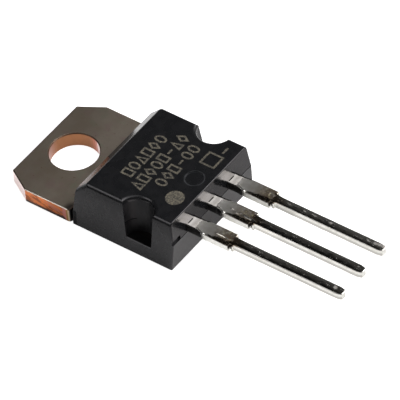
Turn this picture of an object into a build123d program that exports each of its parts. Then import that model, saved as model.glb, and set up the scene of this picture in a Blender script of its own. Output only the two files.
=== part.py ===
from build123d import *
from math import radians, tan
import os

# Power transistor in a three-lead flat-tab package, built as its real pieces.
#
# A dual-gauge copper stamping is both the mounting tab and the middle lead.  The die is soldered to
# it, two aluminium wires join the die to the outer leads, and one moulded body closes round them all.
#
# Millimetres.  The origin is the centre of the mounting hole on the back of the tab, +Z goes up
# through the package, +Y points at the tab's free end and the leads point along -Y.

# ---- tab and die pad -------------------------------------------------------------------------
tab_width = 10.17
tab_thickness = 1.23
tab_end = 2.77                  # hole centre to the free end
tab_corner_across = 1.15        # corner cut, measured across the tab
tab_corner_along = 2.00         # corner cut, measured along the tab
tab_shoulder = 3.38             # hole centre to where the tab narrows
shoulder_radius = 0.25
hole_diameter = 3.82
edge_rollover = 0.09            # rounding that the punch leaves on the upper edges
pad_width = 8.50
pad_end = 10.60                 # hole centre to the front edge of the die pad
lock_step = 0.45                # undercut that the moulding grips, in from the pad's edge
lock_height = 0.40
lock_start = 4.60               # hole centre to where the undercut begins
groove_distance = 4.70          # hole centre to the groove across the top, which keeps damp out
groove_width = 0.36
groove_depth = 0.18

# ---- leads -----------------------------------------------------------------------------------
lead_pitch = 2.54
lead_height = 2.54              # back of the tab to the underside of the leads
lead_thickness = 0.56
lead_reach = 13.45              # out of the body
neck_width = 1.00
neck_length = 0.80
wide_width = 1.32
wide_start = 1.45               # body to where the full width is reached
wide_end = 3.72                 # body to the square shoulder
pin_width = 0.73
tip_radius = 0.20
neck_radius = 0.90
bend_radius = 0.45
bend_start = 0.35               # pad to the first bend of the middle lead
bend_end = 0.50                 # second bend to the outside of the body
stub_gap = 0.17                 # shoulder to the stub left of the dam bar
stub_length = 0.15
stub_width = 0.16

# ---- bond posts inside the body --------------------------------------------------------------
post_width = 2.30
post_length = 1.05
post_cover = 0.50               # moulding between the post and the front
post_outset = 0.15              # post centre, outwards from the lead's centre line
post_notch_radius = 0.22

# ---- die, solder and bond wires --------------------------------------------------------------
die_size = 2.90
die_thickness = 0.25
die_distance = 7.55             # hole centre to the middle of the die
solder_margin = 0.12
solder_thickness = 0.06
base_wire_diameter = 0.25
emitter_wire_diameter = 0.38
wire_cover = 0.55               # moulding over the top of a wire
crown_start = 0.27              # where a wire's flat crown starts, as a share of its run
crown_end = 0.60
wire_bend = 2.00                # radius of a wire's bends as a share of its diameter
foot_length = 0.55
foot_flat = 0.60                # height of a wedged foot as a share of the wire's diameter
foot_spread = 1.50              # its width, in the same way
foot_corner = 0.33              # radius of its corners, in the same way
base_pad = (-0.28, -0.30)       # where the base wire lands, from the middle of the die, as shares of it
emitter_pad = (0.16, 0.05)      # where the emitter wire lands

# ---- moulded body ----------------------------------------------------------------------------
body_width = 10.16
body_height = 4.50
body_rear = 3.62                # hole centre to the body, on top of the tab
body_front = 12.80              # hole centre to the body, at its parting line
ledge = 0.12                    # how far the lower half stands behind the upper one
mould_draft = 5.0
rear_draft = 8.3
parting_height = 2.45
rear_chamfer = 1.00
rim_radius = 0.30               # sides and back of the top, and the rims of the notches
corner_radius = 0.15            # upright corners of the lower half, beside the tab
crisp_radius = 0.08             # front edges and corners

clamp_distance = 9.62           # hole centre to the two side notches
clamp_centre = 4.92             # middle of the body to the centre of a notch
clamp_radius = 1.13             # at its floor, on the die pad
clamp_draft = 4.6

ejector_diameter = 1.46
ejector_depth = 0.08
ejector_distance = 11.33

gate_width = 1.13               # in from the side, at the height of the back
gate_height = 0.40
gate_depth = 0.16
gate_radius = 0.12

# ---- places worked out from the sizes --------------------------------------------------------
lead_middle = lead_height + lead_thickness / 2
lead_top = lead_height + lead_thickness
die_top = tab_thickness + solder_thickness + die_thickness
post_front = body_front - post_cover
post_distance = post_front - post_length / 2


def draft_run(height, angle):
    """How far a face with this draft leans over this height."""
    return height * tan(radians(angle))


def lead_plan(centre_x, inner_y):
    """Plan of one lead from inner_y, inside the body, out to its tip."""
    outer = [
        (neck_width / 2, inner_y),
        (neck_width / 2, -body_front - neck_length),
        (wide_width / 2, -body_front - wide_start),
        (wide_width / 2, -body_front - wide_end),
        (pin_width / 2, -body_front - wide_end),
        (pin_width / 2, -body_front - lead_reach),
    ]
    with BuildSketch(Plane.XY.offset(lead_height)) as plan:
        with Locations((centre_x, 0)):
            with BuildSketch(mode=Mode.PRIVATE) as shape:
                with BuildLine():
                    Polyline(*outer, *[(-x, y) for x, y in reversed(outer)], close=True)
                make_face()
                fillet(shape.vertices().group_by(Axis.Y)[0], tip_radius)
            add(shape.sketch)
        wide_corners, neck_corners, _ = plan.vertices().group_by(Axis.Y)[-3:]
        fillet(wide_corners + neck_corners, neck_radius)
        with Locations((centre_x, -body_front - wide_end - stub_gap - stub_length / 2)):
            Rectangle(pin_width / 2 + stub_width, stub_length, align=(Align.MAX, Align.CENTER))
    return plan.sketch


def post_plan(side):
    """Plan of an outer lead's bond post: a flag with a moulding notch in each end."""
    with BuildSketch(Plane.XY.offset(lead_height)) as plan:
        with Locations((side * (lead_pitch + post_outset), -post_distance)):
            Rectangle(post_width, post_length)
            with Locations((-post_width / 2, 0), (post_width / 2, 0)):
                Circle(post_notch_radius, mode=Mode.SUBTRACT)
    return plan.sketch


# ---- header: tab, die pad and middle lead in one stamping ------------------------------------
with BuildPart() as header:
    with BuildSketch() as tab_plan:
        with BuildLine():
            Polyline(
                (-tab_width / 2, -tab_shoulder),
                (-tab_width / 2, tab_end - tab_corner_along),
                (-tab_width / 2 + tab_corner_across, tab_end),
                (tab_width / 2 - tab_corner_across, tab_end),
                (tab_width / 2, tab_end - tab_corner_along),
                (tab_width / 2, -tab_shoulder),
                close=True,
            )
        make_face()
        fillet(tab_plan.vertices().group_by(Axis.Y)[0], shoulder_radius)
        with Locations((0, -pad_end / 2)):
            Rectangle(pad_width, pad_end)
        Circle(hole_diameter / 2, mode=Mode.SUBTRACT)
    extrude(amount=tab_thickness)
    open_edges = (
        header.faces().sort_by(Axis.Z)[-1].edges()
        .filter_by(lambda edge: edge.center().Y > -tab_shoulder)
    )
    fillet(open_edges, edge_rollover)

    # undercut along the sides and front of the pad and a groove across it, for the moulding to grip
    with BuildSketch() as undercut:
        with Locations((0, -(lock_start + pad_end) / 2)):
            Rectangle(pad_width, pad_end - lock_start)
        with Locations((0, -(lock_start + pad_end - lock_step) / 2)):
            Rectangle(pad_width - 2 * lock_step, pad_end - lock_start - lock_step, mode=Mode.SUBTRACT)
    extrude(amount=lock_height, mode=Mode.SUBTRACT)
    with BuildSketch(Plane.YZ):
        with BuildLine():
            Polyline(
                (-groove_distance - groove_width / 2, tab_thickness),
                (-groove_distance, tab_thickness - groove_depth),
                (-groove_distance + groove_width / 2, tab_thickness),
                close=True,
            )
        make_face()
    extrude(amount=pad_width / 2, both=True, mode=Mode.SUBTRACT)

    # middle lead: bent up from the pad, then straight out
    with BuildLine(Plane.YZ) as rise:
        FilletPolyline(
            (-pad_end, tab_thickness - lead_thickness / 2),
            (-pad_end - bend_start, tab_thickness - lead_thickness / 2),
            (-body_front + bend_end, lead_middle),
            (-body_front, lead_middle),
            radius=bend_radius,
        )
    with BuildSketch(Plane.XZ.offset(pad_end)):
        with Locations((0, tab_thickness - lead_thickness / 2)):
            Rectangle(neck_width, lead_thickness)
    sweep(path=rise.wire())
    add(lead_plan(0, -body_front))
    extrude(amount=lead_thickness)


# ---- outer leads: base and emitter -----------------------------------------------------------
def outer_lead(side):
    """One flat lead with its bond post, on the side that the sign gives."""
    with BuildPart() as lead:
        add(lead_plan(side * lead_pitch, -post_front))
        add(post_plan(side))
        extrude(amount=lead_thickness)
    return lead.part


base_lead = outer_lead(-1)
emitter_lead = outer_lead(1)

# ---- die and the solder under it -------------------------------------------------------------
with BuildPart() as solder:
    with BuildSketch(Plane.XY.offset(tab_thickness)):
        with Locations((0, -die_distance)):
            RectangleRounded(die_size + 2 * solder_margin, die_size + 2 * solder_margin, solder_margin)
    extrude(amount=solder_thickness)

with BuildPart() as die:
    with BuildSketch(Plane.XY.offset(tab_thickness + solder_thickness)):
        with Locations((0, -die_distance)):
            Rectangle(die_size, die_size)
    extrude(amount=die_thickness)


# ---- bond wires ------------------------------------------------------------------------------
def bond_wire(start, end, diameter):
    """Round wire arched from a post at start to the die at end, with a wedged foot at each end."""
    run = Vector(*end) - Vector(*start)
    foot_height = diameter * foot_flat
    die_foot = die_top - lead_top + foot_height
    peak = body_height - wire_cover - diameter / 2 - lead_top
    side_on = Plane(origin=(*start, lead_top), x_dir=run, z_dir=(run.Y, -run.X, 0))
    with BuildPart() as wire:
        with BuildLine(side_on) as path:
            FilletPolyline(
                (0, foot_height),
                (run.length * crown_start, peak),
                (run.length * crown_end, peak),
                (run.length, die_foot),
                radius=diameter * wire_bend,
            )
        with BuildSketch(Plane(path.wire() @ 0, z_dir=path.wire() % 0)):
            Circle(diameter / 2)
        sweep(path=path.wire())
        for place, level in ((start, lead_top), (end, die_top)):
            with BuildSketch(Plane(origin=(*place, level), x_dir=run)):
                RectangleRounded(foot_length, diameter * foot_spread, diameter * foot_corner)
            extrude(amount=foot_height)
    return wire.part


def die_point(pad):
    """Plan position of a pad that is given in shares of the die's size."""
    return (die_size * pad[0], -die_distance + die_size * pad[1])


base_wire = bond_wire((-lead_pitch, -post_distance), die_point(base_pad), base_wire_diameter)
emitter_wire = bond_wire((lead_pitch, -post_distance), die_point(emitter_pad), emitter_wire_diameter)

# ---- moulded body ----------------------------------------------------------------------------
with BuildPart() as body:
    # side view, extruded across the width
    front_lean = draft_run(body_height - parting_height, mould_draft)
    chamfer_foot = body_rear + draft_run(body_height - rear_chamfer - tab_thickness, rear_draft)
    with BuildSketch(Plane.YZ):
        with BuildLine():
            Polyline(
                (-body_rear + ledge, 0),
                (-body_rear + ledge, tab_thickness),
                (-body_rear, tab_thickness),
                (-chamfer_foot, body_height - rear_chamfer),
                (-chamfer_foot - rear_chamfer, body_height),
                (-body_front + front_lean, body_height),
                (-body_front, parting_height),
                (-body_front + draft_run(parting_height, mould_draft), 0),
                close=True,
            )
        make_face()
    extrude(amount=body_width / 2, both=True)
    # end view, which leans the two sides in towards the top
    with BuildSketch(Plane.XZ):
        Trapezoid(body_width, body_height, 90 - mould_draft, align=(Align.CENTER, Align.MIN))
    extrude(amount=body_front + body_rear, both=True, mode=Mode.INTERSECT)
    # upright corners beside the tab
    rear_face = body.faces().sort_by(Axis.Y)[-1]
    fillet(rear_face.edges().filter_by(Axis.X, reverse=True), corner_radius)
    # side notches where the mould's pins clamp the die pad
    with BuildSketch(Plane.XY.offset(tab_thickness)):
        with Locations((-clamp_centre, -clamp_distance), (clamp_centre, -clamp_distance)):
            Circle(clamp_radius)
    extrude(amount=body_height, taper=-clamp_draft, mode=Mode.SUBTRACT)
    # rounded edges: sides and back of the top, the rims of the notches, the ends of the chamfer
    top_edges = body.faces().sort_by(Axis.Z)[-1].edges().sort_by(Axis.Y)
    slanting = body.edges().filter_by(Axis.X, reverse=True)
    chamfer_ends = slanting.filter_by_position(Axis.Y, -chamfer_foot - rear_chamfer, -chamfer_foot)
    fillet(top_edges[1:] + chamfer_ends, rim_radius)
    # crisper edges round the front: its top edge, the ends of the rim and the upright corners
    front_top = body.faces().sort_by(Axis.Z)[-1].edges().sort_by(Axis.Y)[0]
    slanting = body.edges().filter_by(Axis.X, reverse=True)
    front_sides = slanting.filter_by_position(Axis.Y, -body_front, -body_front + front_lean)
    fillet([front_top, *front_sides], crisp_radius)
    # sunk disc left by the mould's ejector pin
    with BuildSketch(Plane.XY.offset(body_height - ejector_depth)):
        with Locations((0, -ejector_distance)):
            Circle(ejector_diameter / 2)
    extrude(amount=ejector_depth, mode=Mode.SUBTRACT)
    # scar where the runner was broken off, on the parting line and open at the corner
    with BuildSketch(Plane.XZ.offset(body_front - gate_depth)) as gate:
        with Locations((-body_width / 2, parting_height)):
            Rectangle(gate_width, gate_height, align=(Align.MIN, Align.MIN))
        fillet(gate.vertices().group_by(Axis.X)[-1], gate_radius)
    extrude(amount=body_front, mode=Mode.SUBTRACT)
    # the room taken by everything that the body is moulded round
    for insert in (header.part, base_lead, emitter_lead, solder.part, die.part, base_wire, emitter_wire):
        add(insert, mode=Mode.SUBTRACT)

# ---- one file for each piece -----------------------------------------------------------------
pieces = {
    "header_and_collector_lead": header.part,
    "base_lead": base_lead,
    "emitter_lead": emitter_lead,
    "die_attach_solder": solder.part,
    "silicon_die": die.part,
    "base_bond_wire": base_wire,
    "emitter_bond_wire": emitter_wire,
    "moulded_body": body.part,
}
os.makedirs("parts", exist_ok=True)
for name, piece in pieces.items():
    piece.label = name
    export_step(piece, f"parts/{name}.step")
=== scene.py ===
"""Looks of the three-lead power transistor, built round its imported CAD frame.

Shapes and materials are worked out in millimetres, and every object is made in metres.
"""
import math
import random

import bmesh
import bpy
import numpy as np
from mathutils import Matrix, Vector, noise


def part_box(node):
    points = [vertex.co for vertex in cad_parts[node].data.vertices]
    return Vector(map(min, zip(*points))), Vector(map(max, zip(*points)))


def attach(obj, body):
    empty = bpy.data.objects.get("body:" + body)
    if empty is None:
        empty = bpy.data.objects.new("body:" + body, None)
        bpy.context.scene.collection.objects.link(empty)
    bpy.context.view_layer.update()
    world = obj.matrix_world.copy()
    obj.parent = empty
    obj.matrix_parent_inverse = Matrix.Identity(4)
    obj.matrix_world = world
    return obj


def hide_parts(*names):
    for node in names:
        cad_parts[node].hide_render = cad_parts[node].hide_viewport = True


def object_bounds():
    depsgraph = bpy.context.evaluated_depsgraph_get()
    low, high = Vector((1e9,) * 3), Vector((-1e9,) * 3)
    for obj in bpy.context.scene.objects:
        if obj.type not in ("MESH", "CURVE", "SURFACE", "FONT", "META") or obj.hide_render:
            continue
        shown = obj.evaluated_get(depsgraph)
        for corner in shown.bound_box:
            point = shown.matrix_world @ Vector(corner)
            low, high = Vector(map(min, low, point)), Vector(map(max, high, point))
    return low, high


MM = 0.001

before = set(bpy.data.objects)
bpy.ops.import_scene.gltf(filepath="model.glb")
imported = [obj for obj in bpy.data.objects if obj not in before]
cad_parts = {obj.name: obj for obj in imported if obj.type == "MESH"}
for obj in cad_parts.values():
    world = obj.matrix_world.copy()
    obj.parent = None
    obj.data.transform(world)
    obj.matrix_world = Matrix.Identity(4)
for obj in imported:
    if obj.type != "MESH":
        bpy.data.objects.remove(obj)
cad_low, cad_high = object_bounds()

# ---- places taken from the frame, in millimetres ---------------------------------------------
tab_low, tab_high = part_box("header_and_collector_lead")
body_low, body_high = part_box("moulded_body")
base_low, base_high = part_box("base_lead")
tab_side = tab_low.x / MM
tab_end = tab_high.y / MM
body_side = body_high.x / MM
body_front = body_low.y / MM
body_rear = body_high.y / MM
body_top = body_high.z / MM
parting = base_low.z / MM               # underside of the leads, close to the parting line
lead_top = base_high.z / MM
lead_tip = base_low.y / MM

# ---- other places and sizes on the part, in millimetres --------------------------------------
tab_shoulder = -3.38                    # where the tab narrows
hole_reach = 2.35                       # the screw hole's wall and rim lie within this radius
lead_pitch = 2.54
shoulder = body_front - 3.72            # where the wide part of a lead ends
wide_half = 0.66                        # half the width of a lead before and after its shoulder
narrow_half = 0.365
body_draft = math.radians(5)            # lean of the body's long sides
ejector_radius = 0.73                   # the ejector pin's disc on top
ejector_y = -11.33
notch_y = -9.62                         # the clamp notches in the long sides
notch_floor = 1.23                      # level with the top of the tab
notch_reach = 1.13                      # half the length of their floor

# ---- sizes of the generic marks on top, in millimetres ---------------------------------------
mark_pitch = 0.80
mark_width = 0.52
mark_height = 0.88
mark_line = 0.16
mark_relief = 0.004
mark_root = 0.030                       # how far the marks reach down into the moulding


# ---- node helpers ----------------------------------------------------------------------------
class Tree:
    """Short calls that add nodes to one material or world."""

    def __init__(self, owner):
        owner.use_nodes = True
        self.nodes = owner.node_tree.nodes
        self.links = owner.node_tree.links
        self.nodes.clear()

    def add(self, kind, **settings):
        node = self.nodes.new(kind)
        for key, value in settings.items():
            setattr(node, key, value)
        return node

    def put(self, value, socket):
        """A number or colour is set on the socket, an output is linked to it."""
        if isinstance(value, bpy.types.NodeSocket):
            self.links.new(value, socket)
        else:
            socket.default_value = value

    def math(self, operation, *values):
        node = self.add("ShaderNodeMath", operation=operation)
        for socket, value in zip(node.inputs, values):
            self.put(value, socket)
        return node.outputs[0]

    def plus(self, a, b):
        return self.math("ADD", a, b)

    def minus(self, a, b):
        return self.math("SUBTRACT", a, b)

    def size(self, value):
        """The value without its sign."""
        return self.math("ABSOLUTE", value)

    def times(self, first, *others):
        """Product of two or more masks or numbers."""
        for other in others:
            first = self.math("MULTIPLY", first, other)
        return first

    def most(self, first, *others):
        """The largest of two or more masks or numbers."""
        for other in others:
            first = self.math("MAXIMUM", first, other)
        return first

    def ramp(self, value, low, high, to_low=0.0, to_high=1.0):
        """Smooth step of value from low to high."""
        node = self.add("ShaderNodeMapRange", interpolation_type="SMOOTHSTEP")
        for socket, number in zip(node.inputs, (value, low, high, to_low, to_high)):
            self.put(number, socket)
        return node.outputs[0]

    def mix(self, factor, a, b):
        """Colour that goes from a to b with the factor."""
        node = self.add("ShaderNodeMix", data_type="RGBA")
        self.put(factor, node.inputs[0])
        self.put(a, node.inputs[6])
        self.put(b, node.inputs[7])
        return node.outputs[2]

    def blend(self, factor, a, b):
        """Number that goes from a to b with the factor."""
        node = self.add("ShaderNodeMix", data_type="FLOAT")
        self.put(factor, node.inputs[0])
        self.put(a, node.inputs[2])
        self.put(b, node.inputs[3])
        return node.outputs[0]

    def noise(self, place, scale, detail=2.0, rough=0.5):
        node = self.add("ShaderNodeTexNoise")
        self.put(place, node.inputs["Vector"])
        self.put(scale, node.inputs["Scale"])
        self.put(detail, node.inputs["Detail"])
        self.put(rough, node.inputs["Roughness"])
        return node.outputs["Fac"]

    def attribute(self, name):
        """A number that the mesh gives at each of its points."""
        return self.add("ShaderNodeAttribute", attribute_name=name).outputs["Fac"]

    def stretch(self, place, scale):
        node = self.add("ShaderNodeMapping")
        self.put(place, node.inputs["Vector"])
        self.put(scale, node.inputs["Scale"])
        return node.outputs["Vector"]

    def bump(self, height, strength, distance, normal=None):
        node = self.add("ShaderNodeBump")
        self.put(strength, node.inputs["Strength"])
        self.put(distance, node.inputs["Distance"])
        self.put(height, node.inputs["Height"])
        if normal is not None:
            self.put(normal, node.inputs["Normal"])
        return node.outputs["Normal"]

    def place(self):
        """Position on the part, in millimetres."""
        where = self.add("ShaderNodeTexCoord").outputs["Object"]
        return self.stretch(where, (1 / MM, 1 / MM, 1 / MM))

    def facing(self):
        """The direction that each flat of the surface faces."""
        return self.add("ShaderNodeNewGeometry").outputs["True Normal"]

    def numbers(self, vector):
        """The three numbers of a vector."""
        split = self.add("ShaderNodeSeparateXYZ")
        self.put(vector, split.inputs[0])
        return split.outputs

    def joined(self, x, y, z=0.0):
        """The vector with these three numbers."""
        node = self.add("ShaderNodeCombineXYZ")
        for socket, number in zip(node.inputs, (x, y, z)):
            self.put(number, socket)
        return node.outputs[0]

    def length(self, x, y):
        """Length of the flat vector with these two numbers."""
        node = self.add("ShaderNodeVectorMath", operation="LENGTH")
        self.put(self.joined(x, y), node.inputs[0])
        return node.outputs["Value"]

    def towards(self, vector, direction):
        """Cosine of the angle between a vector and a fixed direction."""
        node = self.add("ShaderNodeVectorMath", operation="DOT_PRODUCT")
        self.put(vector, node.inputs[0])
        self.put(Vector(direction).normalized(), node.inputs[1])
        return node.outputs["Value"]

    def surface(self, colour, metallic=0.0, roughness=0.5, normal=None, **more):
        shader = self.add("ShaderNodeBsdfPrincipled")
        self.put(colour, shader.inputs["Base Color"])
        self.put(metallic, shader.inputs["Metallic"])
        self.put(roughness, shader.inputs["Roughness"])
        if normal is not None:
            self.put(normal, shader.inputs["Normal"])
        for name, value in more.items():
            self.put(value, shader.inputs[name.replace("_", " ")])
        self.output("ShaderNodeOutputMaterial", shader)

    def output(self, kind, shader):
        output = self.add(kind)
        self.links.new(shader.outputs[0], output.inputs["Surface"])


def material(name):
    made = bpy.data.materials.new(name)
    return made, Tree(made)


def rgb(red, green, blue):
    return (red, green, blue, 1.0)


# ---- materials -------------------------------------------------------------------------------
def moulding_compound():
    """Black epoxy: satin on top and along the sides, polished at the two ends."""
    made, tree = material("black_moulding_compound")
    vector = tree.place()
    x, y, z = tree.numbers(vector)
    _, along, up = tree.numbers(tree.facing())
    mottle = tree.noise(vector, 1.3, 3.0)
    grain = tree.noise(vector, 26.0, 2.0, 0.6)
    colour = tree.mix(mottle, rgb(0.0075, 0.0080, 0.0092), rgb(0.0105, 0.0108, 0.0118))
    # a paler, ragged ring round the ejector pin's disc: a painted highlight on the rim of its recess
    reach = tree.length(x, tree.minus(y, ejector_y))
    ring = tree.times(
        tree.ramp(tree.size(tree.minus(reach, ejector_radius)), 0.085, 0.03),
        tree.ramp(mottle, 0.35, 0.60, 0.45, 1.0),
        tree.ramp(z, body_top - 0.2, body_top - 0.1),
    )
    colour = tree.mix(ring, colour, rgb(0.052, 0.054, 0.058))
    polished = tree.ramp(tree.size(along), 0.5, 0.8)
    satin = tree.ramp(mottle, 0.3, 0.7, 0.24, 0.32)
    roughness = tree.minus(satin, tree.times(polished, 0.14))
    normal = tree.bump(grain, 0.10, 0.008 * MM)
    # a fine ridge where the two halves of the mould met
    seam = tree.times(
        tree.ramp(tree.size(tree.minus(z, parting - 0.09)), 0.07, 0.02),
        tree.ramp(along, -0.5, -0.8),
    )
    normal = tree.bump(seam, 0.8, 0.03 * MM, normal)
    # a dull skin of resin on the lower corners beside the tab
    skin = tree.times(
        tree.ramp(y, body_rear - 0.47, body_rear - 0.39),
        tree.ramp(z, 1.5, 1.2),
    )
    # the clamp notches are duller inside; their floor is painted black as shade, and a pale line
    # below them is a painted highlight on the edge of the sill
    outward = tree.plus(tree.size(x), tree.times(z, math.tan(body_draft)))
    from_notch = tree.size(tree.minus(y, notch_y))
    notch = tree.times(
        tree.ramp(outward, body_side - 0.02, body_side - 0.06),
        tree.ramp(from_notch, 1.50, 1.45),
        tree.ramp(z, body_top - 0.25, body_top - 0.40),
    )
    roughness = tree.most(roughness, tree.times(notch, 0.45))
    notch_floor_shade = tree.times(notch, tree.ramp(up, 0.6, 0.9))
    colour = tree.mix(notch_floor_shade, colour, rgb(0.002, 0.002, 0.002))
    sill_highlight = tree.times(
        tree.ramp(tree.size(tree.minus(z, notch_floor - 0.04)), 0.06, 0.03),
        tree.ramp(from_notch, notch_reach, notch_reach - 0.10),
        tree.ramp(outward, body_side - 0.06, body_side - 0.02),
    )
    colour = tree.mix(sill_highlight, colour, rgb(0.080, 0.080, 0.084))
    shine = tree.ramp(tree.most(seam, skin, notch_floor_shade), 0.1, 0.9, 0.50, 0.10)
    tint = tree.mix(polished, rgb(1.0, 0.965, 1.0), rgb(1.0, 0.90, 0.92))
    tree.surface(colour, 0.0, roughness, normal, Specular_IOR_Level=shine, Specular_Tint=tint)
    return made


def tarnished_and_shaded_face(tree, vector, x, y, fine):
    """Grey-brown tarnished colour with faint clouds of green and plum, fine rolling lines, and
    painted shade in the corner by the moulding.
    """
    cloud = tree.noise(vector, 0.45, 3.0)
    tint = tree.noise(vector, 1.1, 2.0)
    speck = tree.noise(vector, 4.0, 1.0)
    colour = tree.mix(tree.ramp(cloud, 0.3, 0.7), rgb(0.40, 0.33, 0.26), rgb(0.50, 0.43, 0.36))
    colour = tree.mix(tree.ramp(tint, 0.56, 0.70, 0.0, 0.5), colour, rgb(0.40, 0.40, 0.30))
    colour = tree.mix(tree.ramp(tint, 0.44, 0.32, 0.0, 0.5), colour, rgb(0.46, 0.34, 0.31))
    colour = tree.mix(tree.ramp(fine, 0.40, 0.80, 0.0, 0.35), colour, rgb(0.36, 0.31, 0.26))
    # darker towards the free end of the tab
    colour = tree.mix(tree.ramp(y, -1.5, 1.5, 0.0, 0.45), colour, rgb(0.28, 0.225, 0.175))
    colour = tree.mix(tree.ramp(speck, 0.72, 0.78, 0.0, 0.6), colour, rgb(0.22, 0.13, 0.10))
    # painted shade in the corner between the tab's near edge and the moulding
    corner_x = tree.minus(x, tab_side + 0.2)
    corner_y = tree.minus(y, tab_shoulder - 0.1)
    corner_shade = tree.ramp(tree.length(corner_x, corner_y), 0.95, 0.35, 0.0, 0.9)
    colour = tree.mix(corner_shade, colour, rgb(0.07, 0.06, 0.055))
    # what shows of the die pad in the clamp notches is nearly black
    pad = tree.ramp(y, notch_y + 1.8, notch_y + 1.4)
    return tree.mix(pad, colour, rgb(0.020, 0.018, 0.017))


def hole_wall(tree, facing, streak):
    """The wall of the screw hole: paler copper, with a painted pinkish reflection towards the two
    ends that are in view, where the wall is seen edge-on.
    """
    colour = tree.mix(streak, rgb(0.275, 0.123, 0.058), rgb(0.355, 0.157, 0.076))
    turned = tree.towards(facing, (0.65, -0.76, 0.0))
    pink = tree.mix(tree.ramp(turned, -0.2, 0.2), rgb(0.60, 0.20, 0.140), rgb(0.38, 0.185, 0.135))
    return tree.mix(tree.ramp(tree.size(turned), 0.62, 0.95), colour, pink)


def sheared_wall(tree, vector, x, y, z, facing, in_hole):
    """Copper smeared in slanting streaks of brown and dusty pink, dark along the bottom."""
    across, along, _ = tree.numbers(facing)
    streak = tree.noise(tree.stretch(vector, (3.0, 3.0, 1.2)), 1.5, 4.0, 0.7)
    slope = tree.minus(z, tree.times(y, 0.25))
    slanting = tree.joined(x, tree.times(y, 0.45), slope)
    smear = tree.noise(tree.stretch(slanting, (1.0, 1.5, 3.2)), 1.5, 3.0, 0.6)
    blush = tree.noise(tree.stretch(slanting, (1.0, 1.3, 2.2)), 1.1, 2.0, 0.5)
    colour = tree.mix(tree.ramp(streak, 0.36, 0.62), rgb(0.70, 0.19, 0.050), rgb(0.60, 0.20, 0.075))
    colour = tree.mix(tree.ramp(smear, 0.49, 0.57, 0.0, 0.85), colour, rgb(0.24, 0.075, 0.032))
    colour = tree.mix(tree.ramp(blush, 0.46, 0.36, 0.0, 0.7), colour, rgb(0.50, 0.20, 0.15))
    colour = tree.mix(in_hole, colour, hole_wall(tree, facing, streak))
    ragged = tree.plus(z, tree.times(smear, 0.45))
    foot = tree.times(tree.ramp(ragged, 0.51, 0.40), tree.minus(1.0, in_hole))
    colour = tree.mix(foot, colour, rgb(0.07, 0.045, 0.035))
    # pink, then brown, near the shoulder, and a brass stripe at it that is a painted reflection on
    # the rounded corner
    end = tab_shoulder
    tint_and_corner_glint = tree.mix(
        tree.ramp(y, end + 0.42, end + 0.30), rgb(0.62, 0.24, 0.20), rgb(0.42, 0.24, 0.08)
    )
    tint_and_corner_glint = tree.mix(tree.ramp(y, end + 0.26, end + 0.16), tint_and_corner_glint, rgb(0.70, 0.56, 0.40))
    colour = tree.mix(tree.ramp(y, end + 0.80, end + 0.55), colour, tint_and_corner_glint)
    burr = tree.length(tree.minus(y, end + 0.72), tree.times(z, 0.8))
    colour = tree.mix(tree.ramp(burr, 0.34, 0.20), colour, rgb(0.09, 0.055, 0.05))
    # the wall round the free end, with its cut corners, is near white
    oblique = tree.times(tree.ramp(along, 0.30, 0.45), tree.ramp(tree.size(across), 0.99, 0.9))
    colour = tree.mix(oblique, colour, rgb(0.97, 0.80, 0.77))
    # painted shade, nearly black, where the wall turns in to the moulding
    gap_shade = tree.times(tree.ramp(along, -0.45, -0.75), tree.ramp(y, end + 0.3, end + 0.2))
    hidden = tree.most(gap_shade, tree.ramp(y, end - 0.01, end - 0.03))
    return tree.mix(hidden, colour, rgb(0.035, 0.033, 0.036))


def plated_copper():
    """Tarnished plating on the faces, bare copper where the punch sheared the strip."""
    made, tree = material("plated_copper_tab")
    vector = tree.place()
    x, y, z = tree.numbers(vector)
    facing = tree.facing()
    across, along, up = tree.numbers(facing)
    height = tree.size(up)
    upright = tree.ramp(height, 0.25, 0.10)
    flat = tree.ramp(height, 0.97, 0.995)
    in_hole = tree.ramp(tree.length(x, y), hole_reach + 0.05, hole_reach - 0.05)
    fine = tree.noise(tree.stretch(vector, (1.0, 5.0, 1.0)), 5.0, 3.0, 0.65)
    tarnish_and_shade = tarnished_and_shaded_face(tree, vector, x, y, fine)
    sheared = sheared_wall(tree, vector, x, y, z, facing, in_hole)
    # the punched rounding carries a painted highlight along the two sides of the tab, and painted
    # shade elsewhere and round the hole
    bright = tree.times(
        tree.ramp(tree.size(across), 0.15, 0.30),
        tree.ramp(tree.size(along), 0.10, 0.02),
        tree.ramp(height, 0.93, 0.82),
    )
    rounding_highlight_and_shade = tree.mix(bright, rgb(0.10, 0.070, 0.055), rgb(0.99, 0.90, 0.80))
    rounding_highlight_and_shade = tree.mix(in_hole, rounding_highlight_and_shade, rgb(0.10, 0.065, 0.045))
    colour = tree.mix(upright, tree.mix(flat, rounding_highlight_and_shade, tarnish_and_shade), sheared)
    roughness = tree.ramp(upright, 0.0, 1.0, 0.44, 0.32)
    normal = tree.bump(fine, 0.10, 0.010 * MM)
    tree.surface(colour, 1.0, roughness, normal)
    return made


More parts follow.
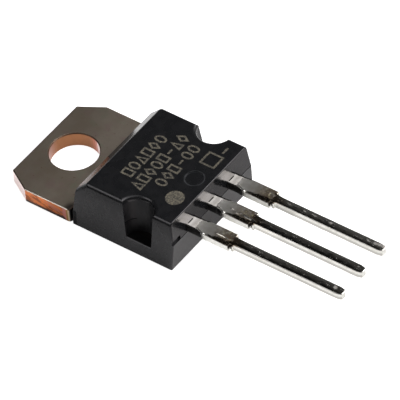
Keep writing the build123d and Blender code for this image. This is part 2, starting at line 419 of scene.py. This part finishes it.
def tinned_lead():
    """Bright tin: matt on the wide part, smooth where the lead was dipped in solder."""
    made, tree = material("tinned_lead")
    vector = tree.place()
    x, y, z = tree.numbers(vector)
    across, _, up = tree.numbers(tree.facing())
    out = tree.minus(body_front, y)
    end = body_front - shoulder
    top = tree.ramp(up, 0.35, 0.60)
    wall = tree.ramp(tree.size(across), 0.55, 0.75)
    cloud = tree.noise(vector, 2.2, 3.0)
    blotch = tree.noise(vector, 3.4, 3.0, 0.6)
    uneven = tree.minus(blotch, 0.5)
    grain = tree.noise(vector, 14.0, 3.0, 0.65)
    bead = tree.attribute("solder")
    blunt = tree.attribute("dull")
    narrow = tree.ramp(out, end - 0.15, end + 0.05)
    # distance from the lead's own middle line, in shares of its half width
    offset = tree.math("WRAP", x, lead_pitch / 2, -lead_pitch / 2)
    share = tree.math("DIVIDE", offset, tree.ramp(narrow, 0.0, 1.0, wide_half, narrow_half))
    # clean tin, a little yellower in clouds
    colour = tree.mix(tree.ramp(cloud, 0.3, 0.7), rgb(0.82, 0.80, 0.74), rgb(0.95, 0.93, 0.89))
    # brown flux towards the shoulder, heavier on the near half
    flux = tree.times(
        tree.ramp(tree.plus(blotch, tree.times(share, -0.08)), 0.10, 0.55),
        tree.ramp(out, 1.3, 3.3),
        tree.ramp(out, end + 1.6, end + 0.2),
        tree.ramp(bead, 0.2, 0.8, 1.0, 0.3),
        top,
    )
    colour = tree.mix(flux, colour, rgb(0.40, 0.31, 0.225))
    # dull yellow specks of flux before the shoulder
    specks = tree.times(
        tree.ramp(tree.noise(vector, 7.0, 1.0), 0.62, 0.70),
        tree.ramp(share, -0.5, -0.2),
        tree.ramp(out, 2.2, 2.6),
        tree.ramp(out, end, end - 0.2),
        top,
    )
    colour = tree.mix(specks, colour, rgb(0.86, 0.84, 0.56))
    # a painted dark reflection, black, along the rounded near edge, broader towards the shoulder,
    # with clean flecks in it;
    # it runs a little way down the wall of the wide part, but not of the narrow one
    rim = tree.ramp(out, 1.3, 3.0, -0.86, -0.52)
    worn = tree.minus(share, tree.times(uneven, 0.6))
    deep = tree.ramp(out, 1.5, 3.3, 0.02, 0.07)
    depth = tree.plus(tree.minus(lead_top, z), tree.times(blotch, 0.10))
    clean = tree.times(narrow, tree.ramp(top, 0.0, 1.0, 1.0, 0.45))
    near_edge_dark_reflection = tree.times(
        tree.ramp(tree.minus(worn, rim), 0.16, -0.06),
        tree.ramp(out, 1.45, 1.75),
        tree.ramp(tree.minus(depth, deep), 0.10, 0.0),
        tree.ramp(grain, 0.68, 0.60),
        tree.minus(1.0, clean),
    )
    # and the same black, as painted shade, fills the upper corner beside the burr past the shoulder
    stub_corner_shade = tree.times(
        tree.ramp(tree.size(tree.minus(out, end + 0.10)), 0.20, 0.12),
        tree.ramp(offset, -0.38, -0.44),
        tree.ramp(z, lead_top - 0.42, lead_top - 0.30),
    )
    colour = tree.mix(tree.most(near_edge_dark_reflection, stub_corner_shade), colour, rgb(0.030, 0.025, 0.020))
    # a greyer line where the punch tore through the sheared walls, darkened as a painted reflection
    # of the shadowed floor below
    level = tree.plus(z, tree.times(grain, 0.06))
    torn_zone_and_shade = tree.times(
        tree.ramp(tree.size(tree.minus(level, lead_top - 0.40)), 0.20, 0.10), wall, narrow
    )
    colour = tree.mix(torn_zone_and_shade, colour, rgb(0.62, 0.60, 0.56))
    colour = tree.mix(tree.times(blunt, 0.6), colour, rgb(0.88, 0.80, 0.76))
    # matt wide part, smooth neck and solder-dipped end with dull streaks and spots along it
    matt = tree.plus(tree.ramp(grain, 0.3, 0.7, 0.30, 0.40), tree.times(specks, 0.2))
    smooth = tree.ramp(grain, 0.3, 0.7, 0.07, 0.13)
    streak = tree.noise(tree.stretch(vector, (4.0, 1.3, 4.0)), 1.6, 3.0, 0.65)
    streaky = tree.plus(smooth, tree.ramp(streak, 0.52, 0.68, 0.0, 0.16))
    streaky = tree.plus(streaky, tree.times(blunt, 0.42))
    neck = tree.ramp(out, 0.74, 0.60)
    dipped = tree.ramp(tree.plus(out, tree.times(uneven, 0.8)), end - 0.20, end + 0.20)
    # solder is less bright on the wide part
    beaded = tree.times(bead, tree.ramp(narrow, 0.0, 1.0, 0.42, 1.0))
    slick = tree.blend(neck, streaky, smooth)
    roughness = tree.blend(tree.most(neck, dipped, beaded), matt, slick)
    tree.surface(colour, 1.0, roughness, tree.bump(grain, 0.15, 0.010 * MM))
    return made


def thin_resin():
    """Dull black skin of resin round the necks of the leads."""
    made, tree = material("resin_flash")
    grain = tree.noise(tree.place(), 12.0, 3.0)
    colour = tree.mix(grain, rgb(0.004, 0.004, 0.004), rgb(0.012, 0.011, 0.010))
    normal = tree.bump(grain, 0.4, 0.02 * MM)
    tree.surface(colour, 0.0, 0.45, normal, Specular_IOR_Level=0.18)
    return made


def laser_etch():
    """Dull tan residue that a laser leaves in hatched lines."""
    made, tree = material("laser_etch")
    vector = tree.place()
    speck = tree.noise(vector, 9.0, 3.0, 0.7)
    hatch = tree.add("ShaderNodeTexWave", wave_type="BANDS", bands_direction="X")
    tree.put(vector, hatch.inputs["Vector"])
    tree.put(5.0, hatch.inputs["Scale"])
    tree.put(2.0, hatch.inputs["Distortion"])
    burnt = tree.mix(hatch.outputs["Fac"], rgb(0.12, 0.105, 0.075), rgb(0.23, 0.205, 0.15))
    colour = tree.mix(tree.ramp(speck, 0.42, 0.62), rgb(0.05, 0.045, 0.038), burnt)
    tree.surface(colour, 0.0, 0.75, tree.bump(speck, 0.3, 0.01 * MM))
    return made


def plain_metal(name, light, dark, roughness, scale):
    """Metal clouded between two shades."""
    made, tree = material(name)
    cloud = tree.noise(tree.place(), scale, 3.0)
    rough = tree.ramp(cloud, 0.2, 0.8, roughness, roughness + 0.1)
    tree.surface(tree.mix(cloud, dark, light), 1.0, rough)
    return made


def polished_silicon():
    made, tree = material("polished_silicon")
    cloud = tree.noise(tree.place(), 3.0)
    tree.surface(tree.mix(cloud, rgb(0.05, 0.06, 0.09), rgb(0.09, 0.10, 0.14)), 0.3, 0.18)
    return made


def dress(node, made):
    """Puts one material on every slot of a CAD node."""
    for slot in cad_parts[node].material_slots:
        slot.link = "OBJECT"
        slot.material = made


# ---- meshes ----------------------------------------------------------------------------------
def link(name, mesh, made):
    """Makes a mesh a piece of the part, on the part's one body."""
    piece = bpy.data.objects.new(name, mesh)
    bpy.context.collection.objects.link(piece)
    mesh.materials.clear()
    mesh.materials.append(made)
    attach(piece, "root")
    return piece


def solid_of(node):
    """A CAD node's mesh with its split corners joined, in millimetres."""
    split_corner = 0.0004
    solid = bmesh.new()
    solid.from_mesh(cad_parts[node].data)
    bmesh.ops.scale(solid, vec=(1 / MM, 1 / MM, 1 / MM), verts=solid.verts)
    bmesh.ops.remove_doubles(solid, verts=solid.verts, dist=split_corner)
    return solid


def cut_off(solid, y, away):
    """Cuts the solid across at y, drops what lies that way along Y and closes the cut."""
    parts = solid.verts[:] + solid.edges[:] + solid.faces[:]
    rim = bmesh.ops.bisect_plane(
        solid, geom=parts, plane_co=(0, y, 0), plane_no=(0, away, 0), clear_outer=True
    )["geom_cut"]
    edges = [part for part in rim if isinstance(part, bmesh.types.BMEdge)]
    bmesh.ops.edgenet_fill(solid, edges=edges)


def even_mesh(solid, cell, smoothing):
    """Closed mesh of small even quads over the solid, with its edges softened."""
    mesh = bpy.data.meshes.new("raw")
    solid.to_mesh(mesh)
    solid.free()
    helper = bpy.data.objects.new("raw", mesh)
    bpy.context.collection.objects.link(helper)
    remesh = helper.modifiers.new("even", "REMESH")
    remesh.mode = "VOXEL"
    remesh.voxel_size = cell
    soften = helper.modifiers.new("soft", "SMOOTH")
    soften.factor = 0.5
    soften.iterations = smoothing
    graph = bpy.context.evaluated_depsgraph_get()
    made = bpy.data.meshes.new_from_object(helper.evaluated_get(graph))
    bpy.data.objects.remove(helper)
    return made


def mesh_arrays(mesh):
    """The mesh's points and the normals at them."""
    points = np.empty(len(mesh.vertices) * 3)
    normals = np.empty(len(mesh.vertices) * 3)
    mesh.vertices.foreach_get("co", points)
    mesh.vertices.foreach_get("normal", normals)
    return points.reshape(-1, 3), normals.reshape(-1, 3)


def give_points(mesh, name, values):
    """Gives each point of the mesh a number that its material can read."""
    mesh.attributes.new(name, "FLOAT", "POINT").data.foreach_set("value", values)


def smooth_step(value, low, high):
    share = np.clip((value - low) / (high - low), 0, 1)
    return share * share * (3 - 2 * share)


def ripple(points, size, seed):
    """Smooth noise of about -1 to 1 with features of the given size."""
    shift = Vector((seed * 17.3, seed * 5.1, seed * 9.7))
    return np.array([noise.noise(Vector(point) / size + shift) for point in points])


def mounds(points, places):
    """Low mounds: (position, radius across, radius along, height) each."""
    lift = np.zeros(len(points))
    for place, wide, long, height in places:
        apart = (points - np.array(place)) / (wide, long, wide)
        lift += height * np.exp(-2 * (apart ** 2).sum(axis=1))
    return lift


def solder_mounds(centre, seed, solder):
    """A lead's own drops, the line of solder at the end of its resin, and small random lumps."""
    draw = random.Random(seed)
    level = lead_top
    places = [((centre + x, shoulder + y, level), *shape) for x, y, *shape in solder]
    # a thin line of solder round the end of the resin, up to a bead on the edge
    last = 8
    for step in range(last + 1):
        share = step / last
        place = (centre - 0.36 - 0.26 * share, body_front - 0.78 - 0.68 * share, level)
        places.append((place, 0.08, 0.08, 0.050))
    places.append(((centre - 0.63, body_front - 1.50, level), 0.09, 0.09, 0.05))
    wide_lumps = 7
    narrow_lumps = 24
    for _ in range(wide_lumps):
        place = (centre + draw.uniform(-0.5, 0.4), shoulder + draw.uniform(-0.2, 1.8), level)
        shape = draw.uniform(0.08, 0.16), draw.uniform(0.12, 0.30), draw.uniform(0.004, 0.011)
        places.append((place, *shape))
    for _ in range(narrow_lumps):
        x = centre + draw.uniform(-0.12, 0.22)
        y = draw.uniform(lead_tip + 1.3, shoulder - 0.3)
        shape = draw.uniform(0.06, 0.10), draw.uniform(0.10, 0.30), draw.uniform(0.006, 0.016)
        places.append(((x, y, level), *shape))
    return places


def tinned(name, solid, node, centre, seed, lean, solder, patches):
    """A lead with its coat of tin and dipped solder: softened edges, a crowned top and lumps.

    lean moves the crown's ridge across the narrow part.  solder and patches are rows of
    (x, y, radius across, radius along, height or dullness), with x from the lead's middle line,
    and y from the shoulder for drops of solder and from the tip for dull patches.
    """
    coat = 0.012
    crown_wide = 0.008
    crown_narrow = 0.030
    long_wave = 0.010
    short_wave = 0.0035
    burr_height = 0.10
    burr_length = 0.20
    tip_width = 0.78
    tip_length = 0.55
    mesh = even_mesh(solid, cell=0.030, smoothing=3)
    points, normals = mesh_arrays(mesh)
    y = points[:, 1]
    from_tip = y - lead_tip
    top = np.clip(normals[:, 2], 0, 1)
    upright = 1 - np.abs(normals[:, 2])
    out = 1 - smooth_step(y, body_front - 0.6, body_front - 0.1)
    dipped = 1 - smooth_step(y, shoulder - 0.5, shoulder + 1.6)
    narrow = 1 - smooth_step(y, shoulder - 0.5, shoulder)
    # the crowned top
    across = (points[:, 0] - centre) / (wide_half - (wide_half - narrow_half) * narrow)
    bulge = 1 - (across - lean * narrow) ** 2
    crown = top * bulge * (crown_wide + (crown_narrow - crown_wide) * narrow)
    crown = crown * out * smooth_step(from_tip, 0.0, 1.2)
    # waves in the solder, and the burr that stands out just past the shoulder
    wavy = ripple(points, 0.9, seed) * long_wave * dipped
    wavy = wavy + ripple(points, 0.28, seed + 1) * short_wave * out
    past = (shoulder - y) / burr_length
    flare = burr_height * upright * np.exp(-np.abs(past)) * (past > 0)
    beads = mounds(points, solder_mounds(centre, seed, solder))
    lift = crown + wavy + flare + coat * out + beads
    points = points + normals * lift[:, None]
    # the tip is drawn in
    drawn_in = tip_width + (1 - tip_width) * smooth_step(from_tip, 0.0, tip_length)
    points[:, 0] = centre + (points[:, 0] - centre) * drawn_in
    mesh.vertices.foreach_set("co", (points * MM).ravel())
    spots = [((centre + x, lead_tip + y, lead_top), *shape) for x, y, *shape in patches]
    give_points(mesh, "solder", smooth_step(beads, 0.012, 0.035))
    give_points(mesh, "dull", np.clip(mounds(points, spots), 0, 1))
    mesh.shade_smooth()
    mesh.update()
    piece = link(name, mesh, tin)
    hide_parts(node)


def keep_flats(solid):
    """Marks the borders of flat faces as sharp, so that only rounded ones are shaded as curves."""
    square_on = 0.99999
    sharpest = math.radians(35)
    for edge in solid.edges:
        flats = [max(abs(number) for number in face.normal) > square_on for face in edge.link_faces]
        alike = len(flats) == 2 and flats[0] == flats[1]
        edge.smooth = alike and edge.calc_face_angle(0) < sharpest


def tab_and_pad():
    """The thick part of the header, with its real flat faces and rounded upper edges."""
    solid = solid_of("header_and_collector_lead")
    cut_off(solid, body_front + 0.25, -1)
    keep_flats(solid)
    bmesh.ops.scale(solid, vec=(MM, MM, MM), verts=solid.verts)
    mesh = bpy.data.meshes.new("tab_and_die_pad")
    solid.to_mesh(mesh)
    solid.free()
    mesh.shade_smooth()
    piece = link("tab_and_die_pad", mesh, copper)
    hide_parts("header_and_collector_lead")


def collector_lead():
    """The middle lead, with a chain of solder drops from the wide part on to the narrow one."""
    solid = solid_of("header_and_collector_lead")
    cut_off(solid, body_front + 0.30, 1)
    chain = (
        (-0.02, 1.96, 0.07, 0.20, 0.038),
        (-0.20, 1.46, 0.08, 0.24, 0.048),
        (-0.08, 1.13, 0.08, 0.26, 0.050),
        (-0.14, 0.62, 0.15, 0.36, 0.062),
        (-0.16, 0.25, 0.16, 0.36, 0.064),
        (-0.18, -0.10, 0.13, 0.34, 0.052),
        (0.00, -0.75, 0.07, 0.30, 0.035),
        (0.02, -1.40, 0.06, 0.25, 0.025),
    )
    tinned(
        "collector_lead_tinned", solid, "header_and_collector_lead",
        centre=0.0, seed=5, lean=0.1, solder=chain, patches=((0.05, 0.60, 0.20, 0.45, 0.22),),
    )


def base_lead():
    """The left lead, with one long ridge on its wide part and a dull spot near its tip."""
    ridge = (
        (-0.06, 1.42, 0.08, 0.26, 0.040),
        (-0.06, 1.17, 0.08, 0.26, 0.046),
        (-0.06, 0.92, 0.08, 0.26, 0.047),
        (-0.07, 0.67, 0.08, 0.26, 0.047),
        (-0.12, 0.42, 0.08, 0.24, 0.038),
        (0.05, -2.20, 0.07, 0.20, 0.030),
    )
    tinned(
        "base_lead_tinned", solid_of("base_lead"), "base_lead",
        centre=-lead_pitch, seed=2, lean=0.0, solder=ridge, patches=((0.08, 0.77, 0.22, 0.24, 1.0),),
    )


def emitter_lead():
    """The right lead, with flecks along it, and worn dull in spots and towards its tip."""
    flecks = (
        (0.17, 1.20, 0.06, 0.16, 0.032),
        (0.19, 0.63, 0.06, 0.16, 0.034),
        (0.08, 0.11, 0.06, 0.18, 0.036),
        (0.02, -1.90, 0.07, 0.22, 0.030),
        (0.05, -2.60, 0.06, 0.18, 0.026),
        (0.00, -3.40, 0.06, 0.25, 0.028),
        (0.08, -4.60, 0.07, 0.15, 0.032),
        (0.02, -5.30, 0.05, 0.15, 0.024),
    )
    worn = (
        (0.16, 0.10, 0.22, 0.25, 0.9),
        (0.18, 0.45, 0.22, 0.30, 0.9),
        (0.10, 0.85, 0.24, 0.30, 0.8),
        (0.08, 1.45, 0.16, 0.28, 0.5),
        (-0.04, 2.02, 0.16, 0.30, 0.4),
        (0.06, 4.70, 0.16, 0.24, 1.0),
        (0.04, 6.10, 0.14, 0.32, 0.65),
        (0.02, 7.00, 0.14, 0.30, 0.6),
        (0.02, 8.30, 0.14, 0.28, 0.65),
    )
    tinned(
        "emitter_lead_tinned", solid_of("emitter_lead"), "emitter_lead",
        centre=lead_pitch, seed=8, lean=-0.35, solder=flecks, patches=worn,
    )


def stroke(outline, closed, centre, size, width):
    """Flat ribbon along an outline given in a unit square, as point loops of quads."""
    path = [Vector((centre[0] + u * size[0], centre[1] + v * size[1])) for u, v in outline]
    count = len(path)
    left, right = [], []
    for index, point in enumerate(path):
        runs = []
        if closed or index:
            runs.append((point - path[index - 1]).normalized())
        if closed or index + 1 < count:
            runs.append((path[(index + 1) % count] - point).normalized())
        side = Vector((0.0, 0.0))
        for run in runs:
            side += Vector((-run.y, run.x))
        side.normalize()
        square_to_run = Vector((-runs[0].y, runs[0].x))
        reach = width / 2 / max(0.5, side.dot(square_to_run))
        left.append(point + side * reach)
        right.append(point - side * reach)
    last = count if closed else count - 1
    return [(left[k], left[(k + 1) % count], right[(k + 1) % count], right[k]) for k in range(last)]


def ring_points(count):
    turns = [math.tau * k / count for k in range(count)]
    return [(math.cos(turn) / 2, math.sin(turn) / 2) for turn in turns]


def top_marks():
    """Generic laser marks: rows of plain outline shapes that spell nothing."""
    square = ([(-0.5, -0.5), (0.5, -0.5), (0.5, 0.5), (-0.5, 0.5)], True)
    triangle = ([(-0.5, -0.5), (0.5, -0.5), (0.0, 0.5)], True)
    diamond = ([(0.0, -0.5), (0.5, 0.0), (0.0, 0.5), (-0.5, 0.0)], True)
    circle = (ring_points(20), True)
    dash = ([(-0.5, 0.0), (0.5, 0.0)], False)
    # each row's y, the x of its first shape, and its shapes
    rows = (
        (-6.85, -2.05, (square, circle, triangle, square, diamond, circle)),
        (-8.20, -2.75, (triangle, square, diamond, circle, square, dash, triangle, diamond)),
        (-9.52, -1.60, (circle, diamond, square, dash, circle, circle)),
    )
    quads = []
    for y, start, shapes in rows:
        for index, shape in enumerate(shapes):
            centre = (start + index * mark_pitch, y)
            quads += stroke(*shape, centre, (mark_width, mark_height), mark_line)
    quads += stroke(*square, (2.17, -11.30), (1.20, 1.20), mark_line)
    quads += stroke(*dash, (3.47, -11.60), (0.65, 0.0), mark_line)
    # the disc is three rings that touch
    ring_line = 0.24
    for radius in (0.12, 0.36, 0.60):
        quads += stroke(*circle, (-2.36, -11.30), (2 * radius, 2 * radius), ring_line)
    high = (body_top + mark_relief) * MM
    low = (body_top - mark_root) * MM
    points, faces = [], []
    for quad in quads:
        base = len(points)
        points += [(corner.x * MM, corner.y * MM, high) for corner in quad]
        points += [(corner.x * MM, corner.y * MM, low) for corner in quad]
        faces.append((base, base + 3, base + 2, base + 1))
        faces.append((base + 4, base + 5, base + 6, base + 7))
        for k in range(4):
            other = (k + 1) % 4
            faces.append((base + k, base + other, base + 4 + other, base + 4 + k))
    mesh = bpy.data.meshes.new("top_marks")
    mesh.from_pydata(points, [], faces)
    mesh.update()
    link("top_marks", mesh, laser_etch())


def resin_ring(centre, number, side, out, reach):
    """Six corners of the resin beside a neck, at one distance out from the body."""
    low = parting - 0.03
    high = lead_top + 0.012
    # the neck's side, which widens towards the wide part
    edge = 0.50 + max(0.0, out - 0.80) ** 2 * 0.55
    # the resin is uneven, and closes in a round end
    wobble = noise.noise(Vector((out * 5.0, number * 7.0, side * 3.0)))
    taper = math.sqrt(max(0.0, 1 - (max(out, 0.0) / reach) ** 8))
    thick = (0.120 + 0.03 * wobble) * taper + 0.004
    top = high + 0.015 * wobble * taper
    bottom = low + 0.02 * wobble + 0.10 * (1 - taper)
    inner = centre + side * (edge - 0.04)
    outer = centre + side * (edge + thick)
    mid = centre + side * (edge + thick * 0.7)
    y = body_front - out
    corners = (
        (inner, top), (mid, top), (outer, top - 0.06),
        (outer, bottom + 0.06), (mid, bottom), (inner, bottom),
    )
    return [(x * MM, y * MM, z * MM) for x, z in corners]


def band(made, before, after):
    """Quads between two rings of points."""
    count = len(before)
    for k in range(count):
        other = (k + 1) % count
        made.faces.new((before[k], before[other], after[other], after[k]))


def egg(made, centre, radii):
    """An egg shape with the given radii, as rings of points between two poles."""
    rows = 8
    columns = 12
    rings = []
    for row in range(1, rows):
        tilt = math.pi * row / rows
        ring = []
        for column in range(columns):
            turn = math.tau * column / columns
            x = math.sin(tilt) * math.cos(turn)
            y = math.sin(tilt) * math.sin(turn)
            ring.append(made.verts.new(centre + radii * Vector((x, y, math.cos(tilt)))))
        rings.append(ring)
    for before, after in zip(rings, rings[1:]):
        band(made, before, after)
    for ring, end in ((rings[0], 1), (rings[-1], -1)):
        pole = made.verts.new(centre + radii * Vector((0, 0, end)))
        for k in range(columns):
            made.faces.new((pole, ring[k], ring[(k + 1) % columns]))


def resin_flash():
    """Black resin squeezed out along both sides of each neck, with a bead across its root."""
    made = bmesh.new()
    steps = 32
    reach = 1.28
    root = -0.05
    for number, centre in enumerate((-lead_pitch, 0.0, lead_pitch)):
        for side in (-1, 1):
            rings = []
            for step in range(steps + 1):
                out = root + (reach - root) * step / steps
                corners = resin_ring(centre, number, side, out, reach)
                rings.append([made.verts.new(corner) for corner in corners])
            for before, after in zip(rings, rings[1:]):
                band(made, before, after)
            made.faces.new(rings[0])
            made.faces.new(rings[-1])
        # the bead across the root, on the nearer half
        place = Vector((centre - 0.05, body_front + 0.035, lead_top + 0.012))
        egg(made, place * MM, Vector((0.33, 0.022, 0.020)) * MM)
    bmesh.ops.recalc_face_normals(made, faces=made.faces)
    mesh = bpy.data.meshes.new("resin_flash")
    made.to_mesh(mesh)
    made.free()
    mesh.shade_smooth()
    link("resin_flash", mesh, thin_resin())


# ---- the part --------------------------------------------------------------------------------
copper = plated_copper()
tin = tinned_lead()
wire_metal = plain_metal("drawn_aluminium", rgb(0.86, 0.86, 0.87), rgb(0.78, 0.78, 0.80), 0.25, 8.0)
soft_solder = plain_metal("soft_solder", rgb(0.60, 0.60, 0.61), rgb(0.48, 0.48, 0.50), 0.35, 5.0)

dress("moulded_body", moulding_compound())
top_marks()
resin_flash()
tab_and_pad()
collector_lead()
base_lead()
emitter_lead()
dress("die_attach_solder", soft_solder)
dress("silicon_die", polished_silicon())
dress("base_bond_wire", wire_metal)
dress("emitter_bond_wire", wire_metal)


# ---- studio ----------------------------------------------------------------------------------
aim = Vector((0.309, -11.379, 2.0)) * MM    # the camera and the lamps point here


def floor():
    """Pale table top.  The rays that look at it see it near white, with the shadow kept.

    What mirrors see of it differs from place to place, in millimetres like the part: painted
    reflections, darker in some patches and glowing in others.
    """
    made, tree = material("pale_table")
    x, y, _ = tree.numbers(tree.place())
    middle = (tab_end + lead_tip) / 2
    path = tree.add("ShaderNodeLightPath")
    clear = tree.most(path.outputs["Is Camera Ray"], path.outputs["Is Transmission Ray"])
    glossy = path.outputs["Is Glossy Ray"]
    # mirrors see it darker away from the part, and in front of the far half of the body
    away = tree.ramp(tree.length(x, tree.minus(y, middle)), 20.0, 40.0)
    ahead = tree.times(
        tree.ramp(y, -14.4, -15.2),
        tree.ramp(x, 0.2, 1.0),
        tree.ramp(x, 7.0, 4.5, 0.0, 0.45),
    )
    gloomy = tree.times(glossy, tree.most(away, ahead))
    colour = tree.mix(gloomy, rgb(0.90, 0.90, 0.90), rgb(0.35, 0.35, 0.35))
    # the rounded upper edge of the body's side mirrors a dark strip
    strip = tree.times(glossy, tree.ramp(x, -8.5, -9.9))
    colour = tree.mix(strip, colour, rgb(0.03, 0.03, 0.03))
    # painted reflection: the narrow walls of the leads mirror a patch of floor that glows for
    # mirrors, with no shadow on it
    unshadowed_patch = tree.times(tree.ramp(y, -14.6, -15.4), tree.ramp(x, -3.8, -4.6))
    unshadowed_patch = tree.most(unshadowed_patch, tree.ramp(y, -16.3, -17.5))
    colour = tree.mix(tree.times(glossy, unshadowed_patch), colour, rgb(0.12, 0.12, 0.12))
    # painted reflection: mirrors see it glow under the leads and beyond the tab, but not beside the
    # body
    under = tree.times(tree.ramp(y, -11.8, -12.8), tree.ramp(x, 0.0, -2.2))
    beyond = tree.most(tree.ramp(y, -16.3, -17.5), tree.ramp(y, -2.0, 0.5))
    mirror_glow = tree.ramp(tree.most(under, beyond), 0.0, 1.0, 0.04, 0.38)
    mirror_glow = tree.times(mirror_glow, tree.ramp(x, -9.9, -8.5))
    mirror_glow = tree.plus(mirror_glow, tree.times(unshadowed_patch, 0.42))
    near = tree.ramp(tree.length(x, y), 50.0, 150.0, 1.0, 0.0)
    mirrored = tree.times(glossy, mirror_glow, near)
    matte = tree.add("ShaderNodeBsdfDiffuse")
    tree.put(colour, matte.inputs["Color"])
    glow = tree.add("ShaderNodeEmission")
    tree.put(rgb(1, 1, 1), glow.inputs["Color"])
    tree.put(tree.most(tree.times(clear, 0.75), mirrored), glow.inputs["Strength"])
    both = tree.add("ShaderNodeAddShader")
    tree.put(matte.outputs[0], both.inputs[0])
    tree.put(glow.outputs[0], both.inputs[1])
    tree.output("ShaderNodeOutputMaterial", both)
    half = 2.0
    corners = [(-half, -half, 0), (half, -half, 0), (half, half, 0), (-half, half, 0)]
    mesh = bpy.data.meshes.new("table_top")
    mesh.from_pydata(corners, [], [(0, 1, 2, 3)])
    mesh.materials.append(made)
    table = bpy.data.objects.new("table_top", mesh)
    bpy.context.collection.objects.link(table)
    table.location.z = cad_low.z - 0.02 * MM


def softbox(name, direction, distance, size, radiance):
    """Square area lamp, in metres, that faces the part and shines with the given radiance."""
    lamp = bpy.data.lights.new(name, "AREA")
    lamp.shape = "SQUARE"
    lamp.size = size
    lamp.energy = radiance * math.pi * size * size
    holder = bpy.data.objects.new(name, lamp)
    bpy.context.collection.objects.link(holder)
    towards = Vector(direction).normalized()
    holder.location = aim + towards * distance
    holder.rotation_mode = "QUATERNION"
    holder.rotation_quaternion = towards.to_track_quat("Z", "Y")
    holder.visible_camera = False


def surroundings():
    """White behind the part, and round it a dim studio with a dark side."""
    world = bpy.data.worlds.new("studio")
    bpy.context.scene.world = world
    tree = Tree(world)
    path = tree.add("ShaderNodeLightPath")
    seen = tree.most(path.outputs["Is Camera Ray"], path.outputs["Is Transmission Ray"])
    direction = tree.add("ShaderNodeTexCoord").outputs["Generated"]
    height = tree.towards(direction, (0, 0, 1))
    behind = tree.ramp(tree.towards(direction, (0.40, 0.62, 0.55)), 0.35, 0.80)
    front = tree.ramp(tree.towards(direction, (-0.50, -0.50, 0.71)), 0.80, 0.93)
    shade = tree.most(behind, front, tree.ramp(height, 0.45, 0.25))
    # darkest above the near side of the leads' crowned tops, a little paler beyond the far side
    above = tree.ramp(tree.towards(direction, (0.24, 0.45, 0.86)), 0.945, 0.992)
    beyond = tree.ramp(tree.towards(direction, (0.90, 0.35, 0.25)), 0.82, 0.96)
    dark = tree.mix(above, rgb(0.028, 0.027, 0.026), rgb(0.006, 0.006, 0.006))
    dark = tree.mix(beyond, dark, rgb(0.060, 0.059, 0.058))
    studio = tree.mix(shade, rgb(0.30, 0.30, 0.30), dark)
    # mirrors see the white backdrop too, but only below the horizon
    mirrored = tree.times(path.outputs["Is Glossy Ray"], tree.ramp(height, 0.0, -0.05))
    background = tree.add("ShaderNodeBackground")
    tree.put(tree.mix(tree.most(seen, mirrored), studio, rgb(1, 1, 1)), background.inputs["Color"])
    tree.output("ShaderNodeOutputWorld", background)


def camera():
    """The photograph's viewing angle: from above, on the side of the base lead."""
    azimuth = math.radians(-49.684)
    elevation = math.radians(45.410)
    roll = math.radians(-5.992)
    distance = 383.194 * MM
    data = bpy.data.cameras.new("camera")
    data.sensor_width = 36.0
    data.lens = 472.76
    data.clip_start = 0.01
    data.clip_end = 10.0
    holder = bpy.data.objects.new("camera", data)
    bpy.context.collection.objects.link(holder)
    back = Vector((
        math.sin(azimuth) * math.cos(elevation),
        -math.cos(azimuth) * math.cos(elevation),
        math.sin(elevation),
    ))
    holder.rotation_mode = "QUATERNION"
    holder.location = aim + back * distance
    level = back.to_track_quat("Z", "Y")
    holder.rotation_quaternion = level @ Matrix.Rotation(roll, 3, "Z").to_quaternion()
    bpy.context.scene.camera = holder


floor()
surroundings()
softbox("key", (0.53, -0.46, 0.71), 0.30, 0.20, 3.0)
softbox("key_halo", (0.53, -0.46, 0.71), 0.32, 0.38, 1.6)
softbox("fill_left", (-0.62, 0.46, 0.64), 0.35, 0.18, 2.2)
softbox("top", (-0.1, -0.25, 1.0), 0.40, 0.32, 0.71)
camera()

bpy.context.scene.view_settings.view_transform = "Standard"
